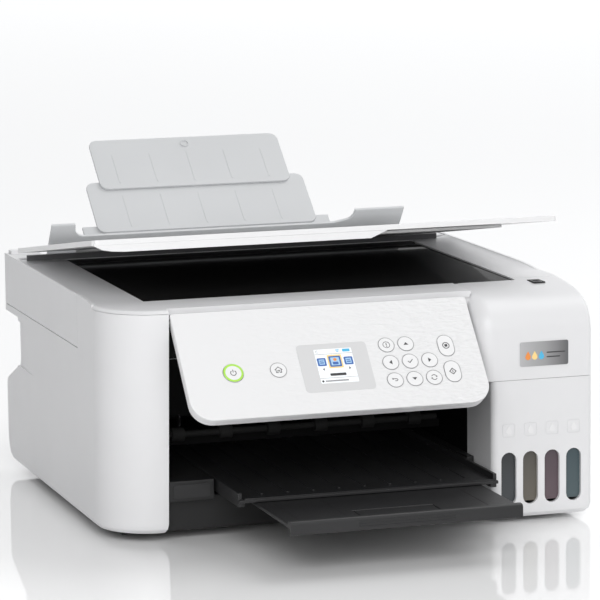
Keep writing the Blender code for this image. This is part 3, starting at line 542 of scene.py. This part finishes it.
def draw_screen():
    """A generic menu: a status line, three picture tiles, two small arrows and two plain bars."""
    middle_u, middle_w = panel_spot("screen")
    centre_u, centre_w = middle_u + LCD_SHIFT, middle_w + LCD_RISE

    def layer(name, look, level):
        return Drawing("lcd_" + name, panel_surface, look, "panel", "screen",
                       BEZEL_PROUD - 0.05, BEZEL_PROUD + 0.05 * level)

    def block(low, high, radius=0.3):
        return rectangle((centre_u + low[0], centre_w + low[1]),
                         (centre_u + high[0], centre_w + high[1]), radius, 3)

    half_u, half_w = LCD_HALF
    low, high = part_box("screen")
    reach = (high.x - low.x) / 2 / MM + BEZEL_OVERLAP
    rise = BEZEL_HEIGHT / 2
    corners = ((middle_u - reach, middle_w - rise), (middle_u + reach, middle_w + rise))
    bezel = Drawing("screen_bezel", panel_surface, BEZEL, "panel", "screen", -0.25, BEZEL_PROUD)
    bezel.patch(rectangle(*corners, BEZEL_CORNER, 6))
    bezel.done()
    seat = Drawing("screen_seat", panel_surface, WHITE, "panel", "case_white", -0.3, 0.04)
    seat.patch(rectangle(*corners, 0.4, 2))
    seat.done()
    layer("ground", LCD_WHITE, 1).patch(block((-half_u, -half_w), (half_u, half_w), 0.6)).done()
    bars = layer("status", LCD_SKY, 2)
    bars.patch(block((7.4, 11.6), (13.2, 14.0), 0.5))
    bars.patch(block((2.6, 11.8), (4.4, 12.5), 0.2))
    bars.patch(block((2.0, 13.0), (5.0, 13.7), 0.2))
    bars.done()
    rules = layer("rules", FAINT_LINE, 2)
    rules.patch(block((-half_u, 10.2), (half_u, 10.5), 0.1))
    rules.patch(block((-half_u, -10.4), (half_u, -10.1), 0.1))
    rules.stroke(arc((centre_u - 12.2, centre_w + 12.6), 1.0, 60, 330, 10), 0.3)
    rules.patch(block((-11.0, -13.4), (7.0, -12.2), 0.3))
    rules.done()
    dark = layer("marks", INK_LINE, 2)
    dark.patch(block((-6.2, -8.6), (6.2, -6.4), 0.6))
    dark.patch(circle((centre_u - 12.9, centre_w - 12.8), 0.9, 14))
    for side in (-1, 1):
        place = (centre_u + side * 10.2, centre_w - 2.6)
        dark.patch(turned_points(ARROW_HEAD, place, -90 * side, 0.95))
    dark.done()
    gold = layer("tile_edge", LCD_GOLD, 2)
    gold.patch(block((-5.6, -2.0), (5.6, 9.4), 0.4))
    gold.done()
    frames = layer("tiles", LCD_BLUE, 3)
    pale = layer("tile_faces", LCD_PALE, 4)
    for place, half in TILES:
        frames.patch(block((place - half, 3.7 - half), (place + half, 3.7 + half), 0.8))
        pale.patch(block((place - half + 1.3, 4.9 - half), (place + half - 1.3, 2.5 + half), 0.3))
    frames.done()
    pale.done()
    figure = layer("tile_figure", LCD_ORANGE, 5)
    figure.patch(circle((centre_u, centre_w + 5.2), 1.3, 16))
    figure.done()
    ground = layer("tile_ground", LCD_BLUE, 5)
    ground.patch(block((-2.2, 1.0), (2.2, 3.2), 0.6))
    for place in (-10.4, 10.4):
        ground.patch(block((place - 1.5, 2.4), (place + 1.5, 3.4), 0.2))
        ground.patch(block((place - 1.5, 4.2), (place + 1.5, 4.9), 0.2))
    ground.done()


# ---------------------------------------------------------------- hood and ink tank front
TILE_HALF = 4.9
TILE_MIDDLE = 72.4                 # height of the row of embossed tiles
BADGE_X = (128.3, 167.4)
BADGE_Z = (120.6, 139.3)
BADGE_DROPS = (6.4, 5.4)           # the first drop from the badge's left, and the distance between drops
BADGE_DROPS_RISE = 7.2
BADGE_LINES = (15.0, 11.0)         # length of each line, and where the lines start from the badge's left
BADGE_LINES_START = 21.5
DROP_RADIUS = 2.2
LABEL_CORNERS = ((158.6, -124.0), (168.6, -108.5))
LABEL_MARK_CORNERS = ((160.6, -121.0), (166.6, -111.5))
LABEL_SINK = 2.2 * MM              # the hood's surface at the label lies this far under its highest point
# Painted light: the badge's printed drops take the screen's glowing looks, so they glow faintly though they are no
# lamp.
GLOWING_DROP_COLOURS = (LCD_ORANGE, LCD_GOLD, LCD_SKY)


def droplet(centre, radius):
    """A drop with its point up."""
    x, y = centre
    blunt, peak = 0.1 * radius, y + 1.9 * radius
    return arc((x, y), radius, 145, 395, 14) + [(x + blunt, peak), (x - blunt, peak)]


def draw_hood():
    """A plain badge with three faintly glowing drops and two lines, and a small dark label on the hood's top."""
    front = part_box("scanner_cover")[0].y
    look = badge_metal(BADGE_X[0] * MM, BADGE_X[1] * MM)
    plate = Drawing("badge", facing_front(front), look, "scanner_unit", "steel", -0.3, 0.5)
    plate.patch(rectangle((BADGE_X[0], BADGE_Z[0]), (BADGE_X[1], BADGE_Z[1]), 1.4, 5))
    plate.done()
    start, step = BADGE_DROPS
    for index, colour in enumerate(GLOWING_DROP_COLOURS):
        name = "badge_drop_%d" % (index + 1)
        centre = (BADGE_X[0] + start + step * index, BADGE_Z[0] + BADGE_DROPS_RISE)
        drop = Drawing(name, facing_front(front), colour, "scanner_unit", "steel", 0.4, 0.62)
        drop.patch(droplet(centre, DROP_RADIUS))
        drop.done()
    lines = Drawing("badge_lines", facing_front(front), INK_LINE, "scanner_unit", "steel", 0.4, 0.62)
    left = BADGE_X[0] + BADGE_LINES_START
    for row, reach in enumerate(BADGE_LINES):
        low = BADGE_Z[0] + 9.6 - 3.4 * row
        lines.patch(rectangle((left, low), (left + reach, low + 0.9), 0.4, 3))
    lines.done()
    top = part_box("scanner_cover")[1].z - LABEL_SINK
    label = Drawing("hood_label", facing_up(top), BLACK, "scanner_unit", "black_plastic", -0.4, 0.12)
    label.patch(rectangle(*LABEL_CORNERS, 1.2, 4))
    label.done()
    detail = Drawing("hood_label_mark", facing_up(top), FAINT_LINE, "scanner_unit", "charcoal", 0.0, 0.2)
    detail.stroke(rectangle(*LABEL_MARK_CORNERS, 0.6, 3), 0.5, True)
    detail.done()


def draw_tank_front():
    """A low embossed square with a drop in it above each ink window."""
    front = facing_front(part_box("right_case")[0].y)
    relief = Drawing("tank_tiles", front, RELIEF, "lower_case", "case_white", -0.3, 0.22)
    drops = Drawing("tank_tile_drops", front, WHITE_GLOSS, "lower_case", "case_white", -0.3, 0.3)
    for index in range(4):
        low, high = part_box("ink_tank_%d" % (index + 1))
        centre = (low.x + high.x) / 2 / MM
        outline = rectangle((centre - TILE_HALF, TILE_MIDDLE - TILE_HALF),
                            (centre + TILE_HALF, TILE_MIDDLE + TILE_HALF), 1.4, 4)
        relief.stroke(outline, 0.5, True)
        drops.patch(droplet((centre, TILE_MIDDLE - 1.0), DROP_RADIUS))
    relief.done()
    drops.done()


SEAM_LIFT = 0.15 * MM              # from the upper shell's lower edge down to the middle of the seam
WALL_INSET = 0.7 * MM              # the painted-shade strips at the sides lie between these depths inside the case
WALL_DEPTH = 2.0 * MM
FRONT_INSET = 1.2 * MM             # and the painted-shade strip at the front between these
FRONT_DEPTH = 2.4 * MM
SEAM_GAP = 4.0 * MM                # left free at the ends of the painted-shade strips along the tank's box


def seam_shade_strips():
    """Black strips inside the seams under the hood and under the side covers: painted shade that darkens the seam
    lines.
    """
    low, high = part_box("right_case")
    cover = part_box("right_side_cover")
    hood_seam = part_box("scanner_cover")[0].z - SEAM_LIFT
    side_seam = cover[0].z - SEAM_LIFT
    right = (high.x - WALL_DEPTH, high.x - WALL_INSET)
    left = (-high.x + WALL_INSET, -high.x + WALL_DEPTH)
    inner = (low.x + WALL_INSET, low.x + WALL_DEPTH)
    front = (low.y + FRONT_INSET, low.y + FRONT_DEPTH)
    start = low.y + SEAM_GAP
    along_cover = (cover[0].y, cover[1].y - WALL_DEPTH)
    strips = (
        ("hood_seam_front", (low.x + WALL_DEPTH, high.x - WALL_DEPTH), front, hood_seam),
        ("hood_seam_left", inner, (start, cover[0].y - SEAM_GAP), hood_seam),
        ("hood_seam_right", right, (start, cover[0].y), hood_seam),
        ("side_seam_right", right, along_cover, side_seam),
        ("side_seam_left", left, along_cover, side_seam),
    )
    for name, (x0, x1), (y0, y1), height in strips:
        line = Drawing(name, facing_up(height), BLACK, "lower_case", "black_plastic", -0.13, 0.13)
        corners = ((x0, y0), (x1, y0), (x1, y1), (x0, y1))
        line.patch([(x / MM, y / MM) for x, y in corners])
        line.done()


FASCIA_SET_BACK = 28.1 * MM        # the fascia's face behind the front of the hood
FASCIA_TOP = 172.6
FASCIA_RIBS = (10, 16, 14)         # the first rib from the left, the distance between ribs, how many


def draw_fascia():
    """The black wall behind the control panel, with a rib pattern above the paper opening."""
    low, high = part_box("panel_front")
    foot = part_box("scanner_floor")[0].z / MM
    left = low.x / MM
    surface = facing_front(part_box("scanner_cover")[0].y + FASCIA_SET_BACK)
    wall = Drawing("fascia_wall", surface, BLACK, "scanner_unit", "black_plastic", -0.4, 0.3)
    wall.patch(rectangle((left + 0.2, foot + 0.2), (high.x / MM + 2.6, FASCIA_TOP), 0.6, 2))
    wall.done()
    ribs = Drawing("fascia_ribs", surface, CHARCOAL, "scanner_unit", "charcoal", 0.2, 1.3)
    start, step, count = FASCIA_RIBS
    for index in range(count):
        place = left + start + step * index
        ribs.patch(rectangle((place, foot + 1), (place + 1.6, foot + 9), 0.3, 2))
    ribs.done()


# ---------------------------------------------------------------- tray and paper path
TRAY_FLOOR = 5.8 * MM              # the tray's floor above its lowest point
TRAY_RIBS = (21, 20, 9)            # as on the fascia, from the tray's or the extension's left edge
TIP_RIDGES = (12, 36, 5)
TIP_FLOOR = 7.4 * MM               # the extension's floor above its lowest point
STOP_MIDDLE = -3                   # the paper stop's middle, and how far the ridges keep from it
STOP_CLEARANCE = 34
HOUSING_PANEL_END = -109.0


def draw_tray():
    """Ribs along the tray, grip lines on its tip and a bar along its front edge."""
    low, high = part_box("output_tray")
    left, right = low.x / MM, high.x / MM
    front = low.y / MM
    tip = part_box("tray_extension")[0]
    floor = facing_up(low.z + TRAY_FLOOR)
    ribs = Drawing("tray_ribs", floor, CHARCOAL, "tray", "charcoal", -0.3, 0.8)
    start, step, count = TRAY_RIBS
    for index in range(count):
        place = left + start + step * index
        ribs.patch(rectangle((place, front + 16), (place + 1.8, high.y / MM - 6), 0.6, 2))
    ribs.done()
    edge = Drawing("tray_front_edge", floor, CHARCOAL, "tray", "charcoal", -0.3, 0.9)
    edge.patch(rectangle((left + 4, front + 0.8), (right - 4, front + 3.2), 0.8, 3))
    edge.done()
    grips = Drawing("tray_tip_grips", facing_front(tip.y), CHARCOAL, "tray_tip", "charcoal", -0.2, 0.35)
    for index in range(3):
        level = tip.z / MM + 2.4 + 2.0 * index
        grips.patch(rectangle((-40.0, level), (34.0, level + 0.7), 0.3, 2))
    grips.done()
    surface = facing_up(tip.z + TIP_FLOOR)
    ridge = Drawing("tray_tip_ridges", surface, CHARCOAL, "tray_tip", "charcoal", -0.3, 0.2)
    start, step, count = TIP_RIDGES
    for index in range(count):
        place = tip.x / MM + start + step * index
        if abs(place - STOP_MIDDLE) > STOP_CLEARANCE:
            ridge.patch(rectangle((place, tip.y / MM + 12), (place + 1.6, front - 3), 0.6, 2))
    ridge.done()
    housing, top = (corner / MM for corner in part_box("tray_housing"))
    surface = facing_front(housing.y * MM)
    panel = Drawing("housing_panel", surface, CHARCOAL, "lower_case", "charcoal", -0.3, 0.5)
    panel.patch(rectangle((housing.x + 3, housing.z + 27), (HOUSING_PANEL_END, top.z - 3), 2.0, 4))
    panel.done()


WHEELS = (20, 26, 8)               # the first wheel from the roller's end, the distance between, how many
WHEEL_TEETH = 12
WHEEL_RADII = (4.1, 5.2)           # at the gaps and at the tips of the teeth
WHEEL_LIFT = 5.4                   # the wheels' axis above the top of the exit roller
WHEEL_THICKNESS = 0.8


def star_wheels():
    """Small toothed wheels that hold the paper down on the exit roller."""
    roller = middle("exit_roller")
    low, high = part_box("exit_roller")
    radius = (high.z - low.z) / 2 / MM
    height = roller.z / MM + radius + WHEEL_LIFT
    depth = roller.y / MM
    corners = 2 * WHEEL_TEETH
    wheels = bmesh.new()
    start, step, count = WHEELS
    for index in range(count):
        place = low.x / MM + start + step * index
        outline = []
        for corner in range(corners):
            reach = WHEEL_RADII[corner % 2]
            angle = math.radians(360 / corners * corner)
            outline.append((depth + reach * math.cos(angle), height + reach * math.sin(angle)))
        rings = [[wheels.verts.new((x * MM, y * MM, z * MM)) for y, z in outline]
                 for x in (place, place + WHEEL_THICKNESS)]
        wheels.faces.new(rings[0])
        wheels.faces.new(rings[1])
        for first in range(corners):
            second = (first + 1) % corners
            face = (rings[0][first], rings[0][second], rings[1][second], rings[1][first])
            wheels.faces.new(face)
    dress(finish_mesh(wheels, "star_wheels"), CHARCOAL, "lower_case")


# Where the painted-shade board lies along Y, and how high it reaches, in millimetres.
SHADE_BOARD_Y = (-118.0, 60.0)
SHADE_BOARD_TOP = 104.0


def shade_paper_path():
    """A black board that carries the tank's side wall on to the back of the paper opening: painted shade,
    darkening the white wall seen inside the opening.
    """
    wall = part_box("right_case")[0].x - 0.0003
    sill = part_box("output_tray")[0].z / MM
    board = Drawing("paper_path_shade_board", facing_left(wall), BLACK, "lower_case", "black_plastic",
                    -0.25, 0.25)
    board.patch(rectangle((SHADE_BOARD_Y[0], sill), (SHADE_BOARD_Y[1], SHADE_BOARD_TOP), 1.0, 2))
    board.done()


# ---------------------------------------------------------------- back
SCREW_RADIUS = 2.3
SCREW_SLOT = 1.7                   # half the length of a screw's slot
RECESS_DEPTH = 42.5 * MM           # the recess in front of the rearmost face
REAR_VENTS = (-40, 7, 12)          # the first vent's middle, the distance between vents, how many
REAR_VENT_HEIGHT = 114.0
VENT_FRAME = ((-46.0, 101.0), (43.0, 127.0))
RATING_PLATE = ((-40.0, 42.0), (50.0, 66.0))
PIN_SPREAD = 4.3                   # from the power inlet's middle to each pin
REAR_SCREWS = ((-166.0, 116.0), (-90.0, 116.0), (100.0, 116.0), (166.0, 116.0))


def screws(name, surface, spots):
    heads = Drawing(name, surface, STEEL, "lower_case", "steel", -0.4, 0.4)
    for u, w in spots:
        heads.stroke(circle((u, w), SCREW_RADIUS, 20), 1.4, True)
        heads.stroke(((u - SCREW_SLOT, w), (u + SCREW_SLOT, w)), 0.6)
    heads.done()


def draw_back():
    """Vents, screws, socket contacts and the blank rating plate on the back."""
    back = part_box("rear_case")[1].y
    recess = facing_back(back - RECESS_DEPTH)
    vents = Drawing("rear_vents", recess, BLACK, "lower_case", "black_plastic", -0.3, 0.12)
    start, step, count = REAR_VENTS
    for index in range(count):
        vents.patch(stadium((start + step * index, REAR_VENT_HEIGHT), 1.2, 8.0, 6))
    vents.done()
    louvres = Drawing("rear_louvres", recess, WHITE, "lower_case", "case_white", -0.3, 1.1)
    louvres.stroke(rectangle(*VENT_FRAME, 3.0, 4), 1.6, True)
    louvres.done()
    screws("rear_screws", recess, REAR_SCREWS)
    plate = Drawing("rating_plate", facing_back(back), BEZEL, "lower_case", "case_white", -0.3, 0.15)
    plate.patch(rectangle(*RATING_PLATE, 2.0, 4))
    plate.done()
    inlet = middle("power_inlet") / MM
    surface = facing_back(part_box("power_inlet")[1].y)
    pins = Drawing("power_pins", surface, STEEL, "lower_case", "steel", -13.0, -3.0)
    for side in (-1, 1):
        pins.patch(circle((inlet.x + PIN_SPREAD * side, inlet.z), 1.2, 14))
    pins.done()
    usb = middle("usb_socket") / MM
    surface = facing_back(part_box("usb_socket")[1].y)
    tongue = Drawing("usb_tongue", surface, BEZEL, "lower_case", "steel", -11.0, -2.0)
    tongue.patch(rectangle((usb.x - 2.8, usb.z - 1.5), (usb.x + 2.8, usb.z + 1.5), 0.4, 2))
    tongue.done()
    shell = Drawing("usb_shell", surface, STEEL, "lower_case", "steel", -11.5, 0.1)
    outline = rectangle((usb.x - 4.2, usb.z - 3.8), (usb.x + 4.2, usb.z + 3.8), 0.9, 3)
    shell.stroke(outline, 0.5, True)
    shell.done()


# ---------------------------------------------------------------- paper support, painted-shade bar at the lid's hinge, and underside
SUPPORT_RISE = math.radians(39.5)  # the support's slope at rest
# Each slide's body, the height of its face over the support's hinge, and where its ribs start and end.
SLIDE_FACES = (("support_lower", 3.4, 56.0, 92.0), ("support_upper", 5.8, 104.0, 138.0))
RIB_PLACES = (-66.0, -33.0, 0.0, 33.0, 66.0)
PULL_PLACE = (0.0, 147.0)


def support_surface(u, w, lift):
    """Upper side of the paper support: u to the right, w away from its hinge."""
    across = w * math.cos(SUPPORT_RISE) - lift * math.sin(SUPPORT_RISE)
    above = w * math.sin(SUPPORT_RISE) + lift * math.cos(SUPPORT_RISE)
    return HINGES["paper_support_hinge"] + Vector((u, across, above)) * MM


def draw_support():
    """Ribs along the slides and a finger pull on the upper one."""
    for body, face, start, end in SLIDE_FACES:
        ribs = Drawing(body + "_ribs", support_surface, GREY, body, "soft_grey", face - 0.2, face + 0.2)
        for place in RIB_PLACES:
            ribs.patch(rectangle((place - 0.9, start), (place + 0.9, end), 0.8, 3))
        ribs.done()
    pull = Drawing("support_pull", support_surface, GREY, "support_upper", "soft_grey", 5.6, 6.6)
    pull.stroke(circle(PULL_PLACE, 3.4), 1.0, True)
    pull.done()


LID_SHADOW_BAR_X = (-178.0, 174.0)
LID_SHADOW_BAR_Y = (-5.0, -0.5)       # from the hinge's axis
LID_SHADOW_BAR_GAP = 1.4              # from the painted-shade bar's top up to the hinge's axis


def draw_lid_shadow_bar():
    """A grey bar under the lid's back edge, along its hinge: it blocks light there, and its grey is painted shade,
    the tone of the shadow under the lid.
    """
    hinge = HINGES["document_lid_hinge"]
    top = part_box("scanner_cover")[1].z
    cover = Drawing("lid_shadow_bar", facing_up(top), LID_SHADOW_GREY, "scanner_unit", "charcoal",
                    -2.4, (hinge.z - top) / MM - LID_SHADOW_BAR_GAP)
    front, back = (hinge.y / MM + away for away in LID_SHADOW_BAR_Y)
    cover.patch(rectangle((LID_SHADOW_BAR_X[0], front), (LID_SHADOW_BAR_X[1], back), 1.5, 4))
    cover.done()


PAN_SLOTS = (-90, 13, 14)          # the first slot's middle, the distance between slots, how many
PAN_SLOT_ROWS = (10.0, 60.0)
PAN_SCREWS = ((-150.0, -60.0), (80.0, -60.0), (-150.0, 90.0), (150.0, 90.0))


def draw_underside():
    """Vent slots and screws in the bottom pan."""
    surface = facing_down(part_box("bottom_pan")[0].z)
    slots = Drawing("pan_slots", surface, BLACK, "lower_case", "black_plastic", -0.3, 0.15)
    start, step, count = PAN_SLOTS
    for row in PAN_SLOT_ROWS:
        for index in range(count):
            slots.patch(stadium((start + step * index, row), 1.6, 12.0, 6))
    slots.done()
    screws("pan_screws", surface, PAN_SCREWS)


button_rings()
draw_icons()
draw_screen()
draw_hood()
draw_tank_front()
seam_shade_strips()
draw_fascia()
draw_tray()
star_wheels()
shade_paper_path()
draw_back()
draw_support()
draw_lid_shadow_bar()
draw_underside()


# ---------------------------------------------------------------- floor, light and camera
FLOOR_HALF = 14.0


def stage_floor():
    """A pale polished floor."""
    work = bmesh.new()
    half = FLOOR_HALF
    corners = ((-half, -half), (half, -half), (half, half), (-half, half))
    work.faces.new([work.verts.new((x, y, 0.0)) for x, y in corners])
    floor = finish_mesh(work, "floor")
    made = Shader("floor_look", (0.95, 0.95, 0.95), 0.05, Specular_IOR_Level=0.42)
    made.rough(made.noise(3.0, 2.0), 0.04, 0.06)
    floor.data.materials.append(made.material)


def area_light(name, place, aim, size, power):
    data = bpy.data.lights.new(name, "AREA")
    data.shape = "RECTANGLE"
    data.size, data.size_y = size
    data.energy = power
    lamp = bpy.data.objects.new(name, data)
    lamp.location = place
    lamp.rotation_euler = (Vector(aim) - Vector(place)).to_track_quat("-Z", "Y").to_euler()
    bpy.context.scene.collection.objects.link(lamp)


# Each area light's name, place, size and power, and where they all point.
LIGHTS = (("key", (-0.85, -2.35, 1.25), (2.0, 2.0), 58), ("top", (1.2, 0.2, 1.8), (1.2, 1.2), 10))
LIGHT_AIM = (0.0, 0.0, 0.1)
SKY_BASE = 0.69                    # brightness of the studio's dome, and how it changes along X, Y, Z
SKY_SLOPE = (0.46, 0.47, -0.18)


def light_scene():
    """A white dome, dimmer at the front left, with a broad key light there and a weak one above."""
    world = bpy.data.worlds.new("studio")
    world.use_nodes = True
    tree = world.node_tree
    shade = tree.nodes["Background"]
    space = tree.nodes.new("ShaderNodeTexCoord")
    slope = tree.nodes.new("ShaderNodeVectorMath")
    slope.operation = "DOT_PRODUCT"
    slope.inputs[1].default_value = SKY_SLOPE
    total = tree.nodes.new("ShaderNodeMath")
    total.operation = "ADD"
    total.inputs[1].default_value = SKY_BASE
    tree.links.new(space.outputs["Generated"], slope.inputs[0])
    tree.links.new(slope.outputs["Value"], total.inputs[0])
    tree.links.new(total.outputs["Value"], shade.inputs["Strength"])
    shade.inputs["Color"].default_value = (0.985, 0.99, 1.0, 1.0)
    bpy.context.scene.world = world
    for name, place, size, power in LIGHTS:
        area_light(name, place, LIGHT_AIM, size, power)


CAMERA_YAW = 17.83                 # degrees to the right of straight ahead, down and round
CAMERA_PITCH = 8.875
CAMERA_ROLL = -0.623
CAMERA_PLACE = (-0.8272, -2.6022, 0.5806)
CAMERA_LENS = 210.3


def aim_camera():
    data = bpy.data.cameras.new("camera")
    data.sensor_width = 36.0
    data.lens = CAMERA_LENS
    data.clip_start = 0.05
    data.clip_end = 60.0
    camera = bpy.data.objects.new("camera", data)
    yaw, pitch, roll = (math.radians(angle) for angle in (CAMERA_YAW, CAMERA_PITCH, CAMERA_ROLL))
    flat = math.cos(pitch)
    forward = Vector((math.sin(yaw) * flat, math.cos(yaw) * flat, -math.sin(pitch)))
    level = Vector((math.cos(yaw), -math.sin(yaw), 0.0))
    upward = level.cross(forward)
    right = level * math.cos(roll) + upward * math.sin(roll)
    top = upward * math.cos(roll) - level * math.sin(roll)
    turn = Matrix((right, top, -forward)).transposed()
    camera.matrix_world = Matrix.Translation(CAMERA_PLACE) @ turn.to_4x4()
    bpy.context.scene.collection.objects.link(camera)
    bpy.context.scene.camera = camera
    bpy.context.scene.view_settings.view_transform = "Standard"


stage_floor()
light_scene()
aim_camera()
